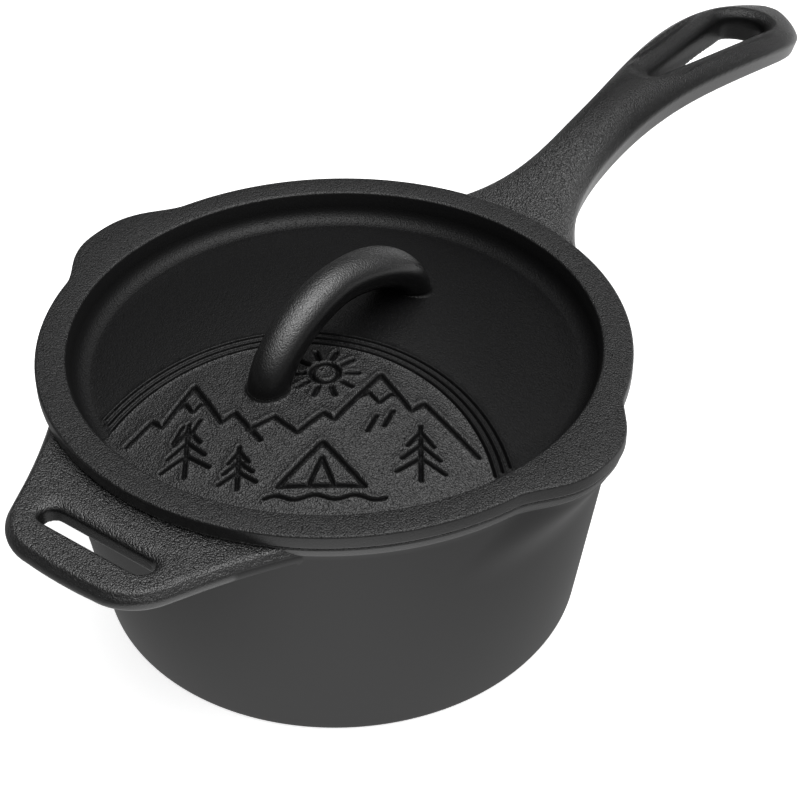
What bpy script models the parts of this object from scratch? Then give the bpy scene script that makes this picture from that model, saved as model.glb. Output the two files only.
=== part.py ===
"""A lidded cast-iron saucepan for the camp kitchen: the pan and the lid, one casting each.

Named sizes are millimetres and the scene is in metres. The origin is the centre of the flat base,
+X runs along the long handle and +Z is up, so the two pour spouts lie towards +Y and -Y.
"""

import math

import bmesh
import bpy

MM = 0.001

# Pan body
BASE_RADIUS = 72.9
RIM_RADIUS = 84.7
PAN_HEIGHT = 80.5
WALL = 4.5
FLOOR = 5.0
BASE_EDGE_RADIUS = 1.4
RIM_EDGE_RADIUS = 0.9
FLOOR_FILLET = 11.0

# Pour spouts, and the ears of the lid that cover them
SPOUT_REACH = 7.3
SPOUT_DEPTH = 30.0
SPOUT_HALF_ANGLE = math.radians(18.2)
SPOUT_FULLNESS = 1.4
EAR_REACH = 7.4

# Long handle, measured outwards from the rim
HANDLE_LENGTH = 176.3
HANDLE_DROP = 0.5
HANDLE_WAIST_AT = 55.9
HANDLE_SHOULDER_AT = 147.7
HANDLE_FAN_BEND = 3.36
HANDLE_RISE_FROM = 2.4
HANDLE_RISE_EASE = 4.0
HANDLE_CREST_AT = 89.3
HANDLE_RISE = 15.6
HANDLE_TIP_FALL = 14.5
HANDLE_TIP_BEND = 1.69
HANDLE_ROOT_HALF_WIDTH = 30.8
HANDLE_WAIST_HALF_WIDTH = 10.4
HANDLE_END_HALF_WIDTH = 19.0
HANDLE_ROOT_THICKNESS = 15.7
HANDLE_MIDDLE_THICKNESS = 14.4
HANDLE_END_THICKNESS = 12.5
HANDLE_END_SQUARENESS = 2.4
HANDLE_NOSE_BEND = 40
HANDLE_INSIDE = 3.0

# Its section: domed above the parting line, drawn in below it
HANDLE_LOWER_SHARE = 0.50
HANDLE_DRAWN_IN = 1.4
HANDLE_SIDE_DRAFT = 3.0
HANDLE_SIDE_BEND = 3.0
HANDLE_TOP_BEND = 2.2
HANDLE_BOTTOM_EDGE = 1.6

# Hanging slot of the long handle, a teardrop: wall and radii at its top, then at its bottom
SLOT_END_WALL = 14.5
SLOT_SMALL_FROM_TIP = 88.7
SLOT_SMALL_RADIUS = 6.1
SLOT_BIG_RADIUS = 12.2
SLOT_LOW_END_WALL = 13.6
SLOT_LOW_SMALL_FROM_TIP = 82.7
SLOT_LOW_SMALL_RADIUS = 3.9
SLOT_LOW_BIG_RADIUS = 9.6

# Helper handle, measured outwards from the rim
HELPER_LENGTH = 29.3
HELPER_DROP = 0.4
HELPER_THICKNESS = 5.2
HELPER_END_HALF_WIDTH = 29.6
HELPER_CORNER_RADIUS = 18.0
HELPER_END_BOW = 0.5
HELPER_SIDE_SLOPE = 0.467
HELPER_FLARE = 1.6
HELPER_FLARE_LENGTH = 20.0
HELPER_EDGE_RADIUS = 1.6

# Slot of the helper handle
HELPER_SLOT_LENGTH = 37.0
HELPER_SLOT_WIDTH = 8.0
HELPER_SLOT_WALL = 9.1

# Lid
LID_GAP = 0.3
LID_OVERHANG = 0.6
FLANGE_THICKNESS = 4.4
FLANGE_EDGE_RADIUS = 1.0
PLUG_CLEARANCE = 0.8
LID_SIDE_WALL = 3.0
LID_THICKNESS = 4.5
WELL_DEPTH = 9.0
WELL_FILLET = 5.0
WELL_DRAFT = 0.8
WELL_LIP = 0.5
UNDERSIDE_DRAFT = 0.6
DOME_RISE = 10.4

# Lid handle, an arched bar along X
BAR_NEAR_SPAN = 29.5
BAR_FAR_SPAN = 33.5
BAR_CROWN_OVER_FLANGE = 17.2
BAR_HALF_WIDTH = 6.2
BAR_FAR_FOOT_HALF_WIDTH = 8.6
BAR_HALF_THICKNESS = 5.9
BAR_ROUNDNESS = 1.8
BAR_FOOT_BELOW_FLANGE = 1.2
BAR_FOOT_SINK = 3.0

# Fineness of the faceted surfaces
COLUMNS = 72
SPOUT_CROWDING = 0.4
HANDLE_STATIONS = 30
SECTION_STEPS = 7
BAR_STATIONS = 22
BAR_POINTS = 16
ARC_STEPS = 4
CUTTER_MARGIN = 3.0
SHARP_ANGLE = math.radians(35.0)

IRON = (0.042, 0.042, 0.044, 1.0)
IRON_ROUGHNESS = 0.55
IRON_METALLIC = 0.35


def clear_scene():
    for thing in list(bpy.data.objects):
        bpy.data.objects.remove(thing, do_unlink=True)


def smooth_step(share):
    share = min(max(share, 0.0), 1.0)
    return share * share * (3.0 - 2.0 * share)


def arc(centre, radius, start, end, steps=ARC_STEPS):
    """Points of an arc in a plane, angles in degrees."""
    turns = [math.radians(start + (end - start) * i / steps) for i in range(steps + 1)]
    return [(centre[0] + radius * math.cos(t), centre[1] + radius * math.sin(t)) for t in turns]


def spout_bump(turn):
    """1 on the middle of either spout, which point along +Y and -Y, and 0 away from them."""
    off = abs(abs(math.remainder(turn, 2.0 * math.pi)) - math.pi / 2.0)
    if off >= SPOUT_HALF_ANGLE:
        return 0.0
    return 0.5 + 0.5 * math.cos(math.pi * (off / SPOUT_HALF_ANGLE) ** SPOUT_FULLNESS)


def column_turns():
    """Angles of the columns round the axis, crowded towards the spouts."""
    even = [2.0 * math.pi * i / COLUMNS for i in range(COLUMNS)]
    return [turn + 0.5 * SPOUT_CROWDING * math.sin(2.0 * turn) for turn in even]


def outer_radius(height):
    """The pan's straight taper from base to rim."""
    return BASE_RADIUS + (RIM_RADIUS - BASE_RADIUS) * height / PAN_HEIGHT


def spout_share(height):
    """How much of the spout's reach the wall has at a height: all at the rim, none below the spout."""
    return smooth_step((height - (PAN_HEIGHT - SPOUT_DEPTH)) / SPOUT_DEPTH)


def mesh_object(name, points, faces, hidden=False):
    mesh = bpy.data.meshes.new(name)
    mesh.from_pydata([tuple(c * MM for c in point) for point in points], [], faces)
    work = bmesh.new()
    work.from_mesh(mesh)
    bmesh.ops.recalc_face_normals(work, faces=work.faces)
    work.to_mesh(mesh)
    work.free()
    mesh.shade_smooth()
    mesh.set_sharp_from_angle(angle=SHARP_ANGLE)
    thing = bpy.data.objects.new(name, mesh)
    bpy.context.scene.collection.objects.link(thing)
    if hidden:
        thing.hide_render = True
        thing.display_type = "WIRE"
    return thing


def turned(name, rows, hidden=False):
    """A solid turned about Z. A row is (radius, height, spout reach), and the ends lie on the axis."""
    turns = column_turns()
    points = [(0.0, 0.0, rows[0][1]), (0.0, 0.0, rows[-1][1])]
    for radius, height, reach in rows[1:-1]:
        for turn in turns:
            away = radius + reach * spout_bump(turn)
            points.append((away * math.cos(turn), away * math.sin(turn), height))
    faces = []
    last = 2 + (len(rows) - 3) * COLUMNS
    for i in range(COLUMNS):
        j = (i + 1) % COLUMNS
        faces.append((0, 2 + i, 2 + j))
        faces.append((1, last + j, last + i))
        for ring in range(2, last, COLUMNS):
            faces.append((ring + i, ring + COLUMNS + i, ring + COLUMNS + j, ring + j))
    return mesh_object(name, points, faces, hidden)


def lofted(name, loops, hidden=False):
    """A solid through closed loops of points, all with as many points, with flat ends."""
    count = len(loops[0])
    points = [point for loop in loops for point in loop]
    faces = [tuple(range(count)), tuple(range((len(loops) - 1) * count, len(loops) * count))]
    for ring in range(len(loops) - 1):
        for i in range(count):
            j = (i + 1) % count
            near, far = ring * count, (ring + 1) * count
            faces.append((near + i, near + j, far + j, far + i))
    return mesh_object(name, points, faces, hidden)


def combine(thing, other, operation):
    step = thing.modifiers.new(other.name, "BOOLEAN")
    step.operation = operation
    step.object = other


def pan_outside():
    """The pan's outer shape as a solid block, before it is hollowed."""
    edge = arc((BASE_RADIUS - BASE_EDGE_RADIUS, BASE_EDGE_RADIUS), BASE_EDGE_RADIUS, -90.0, -5.0)
    rows = [(0.0, 0.0, 0.0)] + [(r, z, 0.0) for r, z in edge]
    spout_foot = PAN_HEIGHT - SPOUT_DEPTH
    for share in (0.0, 0.2, 0.4, 0.6, 0.8):
        z = spout_foot + share * SPOUT_DEPTH
        rows.append((outer_radius(z), z, SPOUT_REACH * spout_share(z)))
    lip = arc((RIM_RADIUS - RIM_EDGE_RADIUS, PAN_HEIGHT - RIM_EDGE_RADIUS), RIM_EDGE_RADIUS, 0.0, 90.0, 2)
    rows += [(r, z, SPOUT_REACH) for r, z in lip]
    rows.append((0.0, PAN_HEIGHT, 0.0))
    return turned("saucepan", rows)


def pan_cavity():
    """What is hollowed out of the pan, spouts included."""
    above = PAN_HEIGHT + CUTTER_MARGIN
    rows = [(0.0, above, 0.0), (RIM_RADIUS - WALL, above, SPOUT_REACH)]
    for share in (1.0, 0.8, 0.6, 0.4, 0.2, 0.0):
        z = PAN_HEIGHT - (1.0 - share) * SPOUT_DEPTH
        rows.append((outer_radius(z) - WALL, z, SPOUT_REACH * spout_share(z)))
    corner = outer_radius(FLOOR + FLOOR_FILLET) - WALL - FLOOR_FILLET
    rows += [(r, z, 0.0) for r, z in arc((corner, FLOOR + FLOOR_FILLET), FLOOR_FILLET, 0.0, -90.0)]
    rows.append((0.0, FLOOR, 0.0))
    return turned("pan_cavity", rows, hidden=True)


def handle_half_width(out):
    """Half the long handle's width at a distance out from the rim: a fan, a waist, a broad round end."""
    if out < HANDLE_WAIST_AT:
        fan = (1.0 - max(out, 0.0) / HANDLE_WAIST_AT) ** HANDLE_FAN_BEND
        return HANDLE_WAIST_HALF_WIDTH + (HANDLE_ROOT_HALF_WIDTH - HANDLE_WAIST_HALF_WIDTH) * fan
    if out < HANDLE_SHOULDER_AT:
        share = smooth_step((out - HANDLE_WAIST_AT) / (HANDLE_SHOULDER_AT - HANDLE_WAIST_AT))
        return HANDLE_WAIST_HALF_WIDTH + (HANDLE_END_HALF_WIDTH - HANDLE_WAIST_HALF_WIDTH) * share
    share = (out - HANDLE_SHOULDER_AT) / (HANDLE_LENGTH - HANDLE_SHOULDER_AT)
    bend = HANDLE_END_SQUARENESS
    return HANDLE_END_HALF_WIDTH * max(1.0 - share**bend, 0.0) ** (1.0 / bend)


def eased(out):
    """Twice a distance past the start of the handle's rise, coming in softly."""
    past = out - HANDLE_RISE_FROM
    return past + math.hypot(past, HANDLE_RISE_EASE)


def handle_crown(out):
    """Height of the long handle's top line: from the rim up to a crest, then down to the tip."""
    level = PAN_HEIGHT - HANDLE_DROP
    if out < HANDLE_CREST_AT:
        share = eased(out) / eased(HANDLE_CREST_AT)
        return level + HANDLE_RISE * math.sin(0.5 * math.pi * share)
    share = (out - HANDLE_CREST_AT) / (HANDLE_LENGTH - HANDLE_CREST_AT)
    return level + HANDLE_RISE - HANDLE_TIP_FALL * share**HANDLE_TIP_BEND


def handle_thickness(out):
    if out < HANDLE_WAIST_AT:
        share = smooth_step(out / HANDLE_WAIST_AT)
        return HANDLE_ROOT_THICKNESS + (HANDLE_MIDDLE_THICKNESS - HANDLE_ROOT_THICKNESS) * share
    share = smooth_step((out - HANDLE_WAIST_AT) / (HANDLE_SHOULDER_AT - HANDLE_WAIST_AT))
    return HANDLE_MIDDLE_THICKNESS + (HANDLE_END_THICKNESS - HANDLE_MIDDLE_THICKNESS) * share


def handle_section(half_width, thickness, squash):
    """A closed loop as (across, up from the crown): domed above the parting line, drawn in below it."""
    low = -thickness
    parting = low * (1.0 - HANDLE_LOWER_SHARE)
    drawn_in = min(HANDLE_DRAWN_IN, 0.5 * half_width)
    bottom_half = half_width - drawn_in
    edge = min(HANDLE_BOTTOM_EDGE, 0.4 * bottom_half)
    draft = min(HANDLE_SIDE_DRAFT, 0.3 * half_width)
    right = []
    for i in range(SECTION_STEPS + 1):
        turn = 0.5 * math.pi * i / SECTION_STEPS
        up = parting - parting * math.cos(turn) ** (2.0 / HANDLE_TOP_BEND)
        across = (half_width - draft) * math.sin(turn) ** (2.0 / HANDLE_SIDE_BEND)
        right.append((across + draft * up / parting, up))
    right += [(bottom_half, low + edge), (bottom_half - edge, low), (0.0, low)]
    loop = right + [(-across, up) for across, up in reversed(right[1:-1])]
    middle = 0.5 * low
    return [(across, middle + (up - middle) * squash) for across, up in loop]


def long_handle():
    """The long handle, lofted from inside the pan's wall to its tip."""
    inside = -WALL - HANDLE_INSIDE
    last = HANDLE_LENGTH - 0.3
    loops = []
    stations = [inside, -1.0, 1.0, 3.0, 6.0]
    first = HANDLE_RISE_FROM + 2.0 * HANDLE_RISE_EASE
    for i in range(HANDLE_STATIONS):
        stations.append(first + (last - first) * math.sin(0.5 * math.pi * i / (HANDLE_STATIONS - 1)))
    for out in stations:
        nose = max(out - HANDLE_SHOULDER_AT, 0.0) / (HANDLE_LENGTH - HANDLE_SHOULDER_AT)
        squash = (1.0 - nose**HANDLE_NOSE_BEND) ** 0.5
        section = handle_section(handle_half_width(out), handle_thickness(out), squash)
        crown = handle_crown(out)
        loops.append([(RIM_RADIUS + out, across, crown + up) for across, up in section])
    return lofted("long_handle", loops, hidden=True)


def teardrop(small_at, big_at, small_radius, big_radius):
    """A closed loop round two circles of unlike size on the X axis, with straight sides."""
    lean = math.degrees(math.asin((big_radius - small_radius) / (big_at - small_at)))
    loop = arc((big_at, 0.0), big_radius, -90.0 - lean, 90.0 + lean, 10)
    loop += arc((small_at, 0.0), small_radius, 90.0 + lean, 270.0 - lean, 6)
    return loop


def slot_loop(end_wall, small_from_tip, small_radius, big_radius, rise):
    """One outline of the hanging slot, at the handle's top and raised, or at its underside and lowered."""
    tip = RIM_RADIUS + HANDLE_LENGTH
    loop = []
    for x, y in teardrop(tip - small_from_tip, tip - end_wall - big_radius, small_radius, big_radius):
        level = handle_crown(x - RIM_RADIUS)
        if rise < 0.0:
            level -= handle_thickness(x - RIM_RADIUS)
        loop.append((x, y, level + rise))
    return loop


def hanging_slot():
    """The drafted teardrop through the long handle's end, wider at the top, with flat ends clear of it."""
    upper = (SLOT_END_WALL, SLOT_SMALL_FROM_TIP, SLOT_SMALL_RADIUS, SLOT_BIG_RADIUS)
    lower = (SLOT_LOW_END_WALL, SLOT_LOW_SMALL_FROM_TIP, SLOT_LOW_SMALL_RADIUS, SLOT_LOW_BIG_RADIUS)
    below, above = slot_loop(*lower, -CUTTER_MARGIN), slot_loop(*upper, CUTTER_MARGIN)
    low = min(z for _, _, z in below) - CUTTER_MARGIN
    high = max(z for _, _, z in above) + CUTTER_MARGIN
    loops = [[(x, y, low) for x, y, _ in below], below, above, [(x, y, high) for x, y, _ in above]]
    return lofted("hanging_slot", loops, hidden=True)


def helper_outline():
    """Half the helper handle's outline as (outwards, across) points, from its end to the rim."""
    end = RIM_RADIUS + HELPER_LENGTH
    slant = math.degrees(math.atan(HELPER_SIDE_SLOPE))
    centre_at = end - HELPER_END_BOW - HELPER_CORNER_RADIUS
    across = HELPER_END_HALF_WIDTH - HELPER_CORNER_RADIUS
    half = [(end, 0.0), (end - 0.3 * HELPER_END_BOW, 0.6 * across)]
    half += arc((centre_at, across), HELPER_CORNER_RADIUS, 0.0, 90.0 - slant, 5)
    side_at, side_across = half[-1]
    flare_from = RIM_RADIUS + HELPER_FLARE_LENGTH / 2.0
    stop_at = RIM_RADIUS - HELPER_FLARE_LENGTH
    for i in range(1, 9):
        x = side_at + (stop_at - side_at) * i / 8.0
        y = side_across + HELPER_SIDE_SLOPE * (side_at - x)
        y += HELPER_FLARE * (max(flare_from - x, 0.0) / HELPER_FLARE_LENGTH) ** 2
        half.append((x, y))
    return half


def helper_handle():
    """The short helper handle opposite the long one, a flat tab with rounded edges."""
    half = helper_outline()
    outline = [(-x, y) for x, y in half] + [(-x, -y) for x, y in reversed(half[1:])]
    top = PAN_HEIGHT - HELPER_DROP
    loops = [[(x, y, z) for x, y in outline] for z in (top - HELPER_THICKNESS, top)]
    tab = lofted("helper_handle", loops, hidden=True)
    work = bmesh.new()
    work.from_mesh(tab.data)
    rims = [edge for edge in work.edges if any(len(face.verts) > 4 for face in edge.link_faces)]
    bmesh.ops.bevel(
        work, geom=rims, offset=HELPER_EDGE_RADIUS * MM, segments=2, profile=0.5, affect="EDGES"
    )
    work.to_mesh(tab.data)
    work.free()
    return tab


def helper_slot():
    """The long round-ended slot through the helper handle."""
    radius = 0.5 * HELPER_SLOT_WIDTH
    at = -(RIM_RADIUS + HELPER_LENGTH - HELPER_SLOT_WALL - radius)
    reach = 0.5 * HELPER_SLOT_LENGTH - radius
    loop = arc((at, reach), radius, 0.0, 180.0, 8) + arc((at, -reach), radius, 180.0, 360.0, 8)
    top = PAN_HEIGHT + CUTTER_MARGIN
    bottom = PAN_HEIGHT - HELPER_DROP - HELPER_THICKNESS - CUTTER_MARGIN
    return lofted("helper_slot", [[(x, y, z) for x, y in loop] for z in (bottom, top)], hidden=True)


def saucepan():
    pan = pan_outside()
    combine(pan, long_handle(), "UNION")
    combine(pan, helper_handle(), "UNION")
    combine(pan, pan_cavity(), "DIFFERENCE")
    combine(pan, hanging_slot(), "DIFFERENCE")
    combine(pan, helper_slot(), "DIFFERENCE")
    return pan


def lid_top():
    return PAN_HEIGHT + LID_GAP + FLANGE_THICKNESS


def dome_height(radius, edge_radius, edge_height):
    """A shallow dome, DOME_RISE above its edge at the middle."""
    return edge_height + DOME_RISE * (1.0 - (radius / edge_radius) ** 2)


def lid_plate():
    """The lid's flange with its two ears, and the sunk, domed well inside it."""
    top = lid_top()
    under = PAN_HEIGHT + LID_GAP
    flange = RIM_RADIUS + LID_OVERHANG
    plug = RIM_RADIUS - WALL - PLUG_CLEARANCE
    well = plug - LID_SIDE_WALL
    floor_edge = well - WELL_DRAFT - WELL_FILLET
    floor = top - WELL_DEPTH
    dome = (0.9, 0.72, 0.5, 0.25)
    rows = [(0.0, dome_height(0.0, floor_edge, floor), 0.0)]
    rows += [(floor_edge * s, dome_height(floor_edge * s, floor_edge, floor), 0.0) for s in reversed(dome)]
    rows += [(r, z, 0.0) for r, z in arc((floor_edge, floor + WELL_FILLET), WELL_FILLET, -90.0, 0.0)]
    rows += [(well, top - WELL_LIP, 0.0), (well + WELL_LIP, top, 0.0)]
    edge_at = flange - FLANGE_EDGE_RADIUS
    upper = arc((edge_at, top - FLANGE_EDGE_RADIUS), FLANGE_EDGE_RADIUS, 90.0, 0.0, 2)
    lower = arc((edge_at, under + FLANGE_EDGE_RADIUS), FLANGE_EDGE_RADIUS, 0.0, -90.0, 2)
    rows += [(r, z, EAR_REACH) for r, z in upper + lower]
    rows.append((plug, under, 0.0))
    dome_under = floor - LID_THICKNESS
    corner = LID_THICKNESS + WELL_FILLET
    turn_at = (plug - UNDERSIDE_DRAFT - corner, dome_under + corner)
    rows += [(r, z, 0.0) for r, z in arc(turn_at, corner, -10.0, -90.0)]
    rows += [(floor_edge * s, dome_height(floor_edge * s, floor_edge, dome_under), 0.0) for s in dome[1:]]
    rows.append((0.0, dome_height(0.0, floor_edge, dome_under), 0.0))
    return turned("lid", rows)


def bar_point(share):
    """Centre line of the lid's handle: share runs from -1 at the near foot to 1 at the far foot."""
    span = BAR_FAR_SPAN if share > 0.0 else BAR_NEAR_SPAN
    foot = lid_top() - BAR_FOOT_BELOW_FLANGE
    turn = 0.5 * math.pi * min(abs(share), 1.0)
    x = math.copysign(span * math.sin(turn) ** (2.0 / BAR_ROUNDNESS), share)
    rise = BAR_CROWN_OVER_FLANGE + BAR_FOOT_BELOW_FLANGE
    z = foot + rise * max(math.cos(turn), 0.0) ** (2.0 / BAR_ROUNDNESS)
    return x, z


def lid_handle():
    """The arched bar of the lid, an oval section swept along its centre line into the dome."""
    centres = [bar_point(-1.0 + 2.0 * i / (BAR_STATIONS - 1)) for i in range(BAR_STATIONS)]
    near, far = centres[0], centres[-1]
    centres.insert(0, (near[0], near[1] - BAR_FOOT_SINK))
    centres.append((far[0], far[1] - BAR_FOOT_SINK))
    loops = []
    for i, (x, z) in enumerate(centres):
        before, after = centres[max(i - 1, 0)], centres[min(i + 1, len(centres) - 1)]
        run, rise = after[0] - before[0], after[1] - before[1]
        length = math.hypot(run, rise)
        run, rise = run / length, rise / length
        widen = smooth_step(x / BAR_FAR_SPAN)
        half_width = BAR_HALF_WIDTH + (BAR_FAR_FOOT_HALF_WIDTH - BAR_HALF_WIDTH) * widen
        loop = []
        for k in range(BAR_POINTS):
            turn = 2.0 * math.pi * k / BAR_POINTS
            out = BAR_HALF_THICKNESS * math.sin(turn)
            loop.append((x - rise * out, half_width * math.cos(turn), z + run * out))
        loops.append(loop)
    return lofted("lid_handle", loops, hidden=True)


def lid():
    plate = lid_plate()
    combine(plate, lid_handle(), "UNION")
    return plate


def cast_iron(name):
    iron = bpy.data.materials.new(name)
    iron.use_nodes = True
    shader = iron.node_tree.nodes["Principled BSDF"]
    shader.inputs["Base Color"].default_value = IRON
    shader.inputs["Roughness"].default_value = IRON_ROUGHNESS
    shader.inputs["Metallic"].default_value = IRON_METALLIC
    return iron


def main():
    clear_scene()
    for piece in (saucepan(), lid()):
        piece.data.materials.append(cast_iron(piece.name + "_iron"))


main()
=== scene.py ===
"""The dressed saucepan and lid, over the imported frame, with its light, floor and camera.

Lengths in the shape functions are millimetres in the row frame: the origin is the middle of the
base, +X runs along the long handle and +Z is up. Shader nodes measure in metres, so their spans
are turned from millimetres where they are used.
"""

import math

import bmesh
import bpy
import numpy as np
from mathutils import Matrix, Vector
from mathutils.geometry import delaunay_2d_cdt

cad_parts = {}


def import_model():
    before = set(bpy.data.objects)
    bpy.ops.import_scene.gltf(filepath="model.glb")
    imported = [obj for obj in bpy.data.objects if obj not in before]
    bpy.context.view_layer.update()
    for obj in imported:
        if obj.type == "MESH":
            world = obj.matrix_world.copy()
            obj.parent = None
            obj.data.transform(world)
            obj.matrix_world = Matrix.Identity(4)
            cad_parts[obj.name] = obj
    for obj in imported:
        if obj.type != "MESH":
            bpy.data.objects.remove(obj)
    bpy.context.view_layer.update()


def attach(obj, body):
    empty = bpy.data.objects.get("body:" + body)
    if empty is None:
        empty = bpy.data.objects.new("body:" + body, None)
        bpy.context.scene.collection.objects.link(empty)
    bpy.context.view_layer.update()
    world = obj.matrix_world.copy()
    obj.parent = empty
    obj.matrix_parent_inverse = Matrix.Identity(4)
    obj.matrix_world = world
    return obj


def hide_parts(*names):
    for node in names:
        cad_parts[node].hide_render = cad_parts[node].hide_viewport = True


MM = 0.001

# The pan
BASE_RADIUS = 72.9
RIM_RADIUS = 84.7
PAN_HEIGHT = 80.5
WALL = 4.5
FLOOR = 5.0
BASE_EDGE_RADIUS = 1.4
RIM_EDGE_RADIUS = 0.9
RIM_BAND = 2.6
RIM_BAND_STEP = 0.18
RIM_BAND_LIP = 0.02
RIM_BAND_EASE = 0.35
FLOOR_FILLET = 11.0
CAVITY_ABOVE_RIM = 3.0
SPOUT_REACH = 7.3
SPOUT_DEPTH = 30.0
SPOUT_HALF_ANGLE = math.radians(18.2)
SPOUT_FULLNESS = 1.4
SPOUT_SPREAD = 0.8
SPOUT_GATHER = 1.5
EAR_REACH = 7.4

# The long handle, measured outwards from the rim
HANDLE_LENGTH = 176.3
HANDLE_DROP = 0.5
HANDLE_WAIST_AT = 55.9
HANDLE_SHOULDER_AT = 147.7
HANDLE_FAN_BEND = 3.36
HANDLE_RISE_FROM = 2.4
HANDLE_RISE_EASE = 4.0
HANDLE_CREST_AT = 89.3
HANDLE_RISE = 15.6
HANDLE_TIP_FALL = 14.5
HANDLE_TIP_BEND = 1.69
HANDLE_ROOT_HALF_WIDTH = 30.8
HANDLE_WAIST_HALF_WIDTH = 10.4
HANDLE_END_HALF_WIDTH = 19.0
HANDLE_ROOT_THICKNESS = 15.7
HANDLE_MIDDLE_THICKNESS = 14.4
HANDLE_END_THICKNESS = 12.5
HANDLE_END_SQUARENESS = 2.4
HANDLE_LOWER_SHARE = 0.50
HANDLE_DRAWN_IN = 1.4
HANDLE_SIDE_DRAFT = 3.0
HANDLE_SIDE_BEND = 3.0
HANDLE_TOP_BEND = 2.2
HANDLE_BOTTOM_EDGE = 1.6
HANDLE_NOSE_BEND = 40
HANDLE_NOSE_CUT = 0.35
HANDLE_ROOT_INSIDE = 3.0
HANDLE_ROOT_SWELL = 1.8
HANDLE_ROOT_SWELL_LENGTH = 6.0
HANDLE_STATIONS = 120
HANDLE_CROWDING = 0.85
SOFTENED_BY = 0.3

# Its slot: wall and radii at the top, then at the bottom, and the roundings of both edges
SLOT_END_WALL = 17.9
SLOT_SMALL_FROM_TIP = 88.7
SLOT_SMALL_RADIUS = 2.7
SLOT_BIG_RADIUS = 8.8
SLOT_LOW_END_WALL = 14.6
SLOT_LOW_SMALL_FROM_TIP = 79.0
SLOT_LOW_SMALL_RADIUS = 1.2
SLOT_LOW_BIG_RADIUS = 8.3
SLOT_EDGE_RADIUS = 6.5
SLOT_LOW_EDGE_RADIUS = 0.8
SLOT_DRAFT_BEND = 0.6
SLOT_CUT_MARGIN = 4.0

# The helper handle. Its edge is (drawn in, down) from the flat top to the flat underside
HELPER_LENGTH = 29.3
HELPER_DROP = 0.4
HELPER_THICKNESS = 6.0
HELPER_END_HALF_WIDTH = 29.6
HELPER_CORNER_RADIUS = 18.0
HELPER_END_BOW = 0.5
HELPER_SIDE_SLOPE = 0.467
HELPER_FLARE = 1.6
HELPER_FLARE_LENGTH = 20.0
HELPER_SLOT_LENGTH = 38.2
HELPER_SLOT_WIDTH = 6.6
HELPER_SLOT_WALL = 11.6
HELPER_SLOT_NEAR_EDGE = 1.6
HELPER_SLOT_FAR_EDGE = 4.2
HELPER_SLOT_EDGE_DEPTH = 2.6
HELPER_CUT_MARGIN = 3.0
HELPER_EDGE = (
    (2.7, 0.0), (2.1, 0.1), (1.65, 0.4), (1.35, 0.9), (1.0, 1.5), (0.45, 2.2), (0.05, 2.9),
    (0.0, 3.3), (0.1, 4.2), (0.35, 5.0), (0.75, 5.55), (1.3, 5.9), (2.0, 6.0),
)

# The lid
LID_GAP = 0.3
LID_OVERHANG = 0.6
EAR_START = 0.35
FLANGE_THICKNESS = 4.4
FLANGE_EDGE_RADIUS = 0.8
PLUG_CLEARANCE = 0.8
LID_SIDE_WALL = 3.0
LID_THICKNESS = 4.5
WELL_DEPTH = 9.0
WELL_FILLET = 5.0
WELL_FILLET_START = 0.35
WELL_DRAFT = 0.8
WELL_LIP = 0.9
UNDERSIDE_DRAFT = 0.6
DOME_RISE = 10.4

# The lid's grip
BAR_NEAR_SPAN = 29.5
BAR_FAR_SPAN = 33.5
BAR_CROWN_OVER_FLANGE = 17.2
BAR_HALF_WIDTH = 6.2
BAR_FAR_FOOT_HALF_WIDTH = 8.6
BAR_HALF_THICKNESS = 5.9
BAR_ROUNDNESS = 1.8
BAR_FOOT_BELOW_FLANGE = 1.2
BAR_FOOT_SINK = 4.5
BAR_STATIONS = 120
BAR_CROWDING = 0.8
BAR_SIDES = 56
FOOT_FILLET = 1.0

# The carving in the lid's floor: its circle's centre, and the view that its picture faces
CARVING_CENTRE = (-57.0, -27.5)
VIEW_RIGHT = (0.600, -0.800)
VIEW_UP = (0.800, 0.600)
RING_RADII = (57.2, 59.6, 62.0)
RING_WIDTH = 0.62
BOLD_WIDTH = 1.25
GROOVE_HALF_WIDTH = 0.72
GROOVE_BOTTOM_HALF_WIDTH = 0.12
GROOVE_DEPTH = 1.2
LIP_AT = 1.12
LIP_HALF_WIDTH = 0.62
LIP_HEIGHT = 0.28
GROOVE_ROWS = (0.0, 0.26, 0.46, 0.66, 0.86, 1.12, 1.4, 1.8)
CURVE_STEP = 0.8
GRID_STEP = 2.0
GRID_ROW_SHARE = 0.92
LINES_CLEAR_OF_EDGE = 1.6
SPOTS_CLEAR_OF_EDGE = 0.9
SPOTS_APART = 0.14
GRID_CLEAR_OF_LINES = 2.2
GRID_CLEAR_OF_FEET = 1.6
RINGS_CLEAR_OF_LINES = 0.2
ROWS_SLACK = 0.06

# The picture, in its own right and up
LEFT_PEAKS = (
    (-46.0, 20.5), (-37.5, 30.5), (-34.5, 28.0), (-26.5, 42.0), (-18.0, 27.0), (-14.5, 30.0), (-7.0, 19.5),
)
FOOTHILL = ((-10.5, 23.5), (-3.5, 27.5), (3.0, 21.5))
RIGHT_PEAKS = (
    (3.0, 21.5), (10.0, 28.5), (13.0, 26.0), (25.5, 43.5), (34.0, 30.0), (37.5, 33.0), (52.0, 15.5),
)
LEFT_SNOW = ((-31.5, 33.2), (-28.6, 35.4), (-26.2, 32.0), (-24.0, 35.0), (-22.0, 34.0))
RIGHT_SNOW = ((18.6, 33.8), (22.4, 36.2), (25.2, 32.4), (28.4, 36.0), (30.8, 35.2))
SHADE_FROM = ((29.0, 29.5), (24.5, 27.5), (-24.0, 28.5), (-28.5, 27.0))
SHADE_RUN = (-2.4, -5.6)
SUN_AT = (10.0, 44.0)
SUN_RADIUS = 3.8
SUN_RAYS = 10
SUN_RAY_REACH = (6.0, 9.2)
TENT = ((-1.5, 3.6), (10.0, 18.0), (21.5, 3.6), (-1.5, 3.6))
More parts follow.
